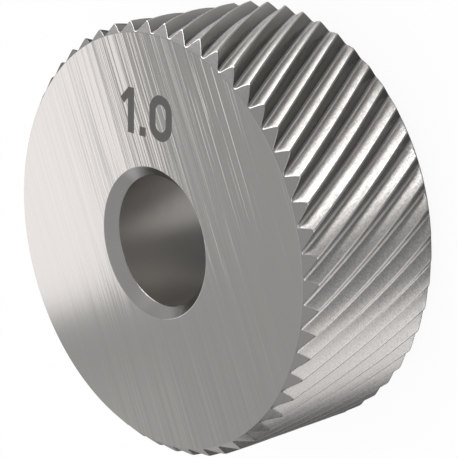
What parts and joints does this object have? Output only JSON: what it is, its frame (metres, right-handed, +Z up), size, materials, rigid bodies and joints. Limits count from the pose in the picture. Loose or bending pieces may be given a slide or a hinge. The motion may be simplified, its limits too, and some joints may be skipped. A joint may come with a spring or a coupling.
{
  "type": "knurling wheel",
  "caption": "Hardened steel ring with left-hand helical teeth round its rim and a plain chamfered bore, rolled under pressure to knurl round stock.",
  "frame": {"origin": "where the bore's axis meets the lower flat face, which the wheel lies on", "axes": "+Z up the bore's axis, from the lower face to the upper one; +X through the crest of a tooth at the lower face"},
  "size_m": [0.02, 0.02, 0.008],
  "materials": {
    "ground_steel": "ground flat faces with straight grinding lines, smooth bright tooth flanks"
  },
  "bodies": {
    "root": {"knurling_wheel": "ground_steel"}
  },
  "joints": []
}
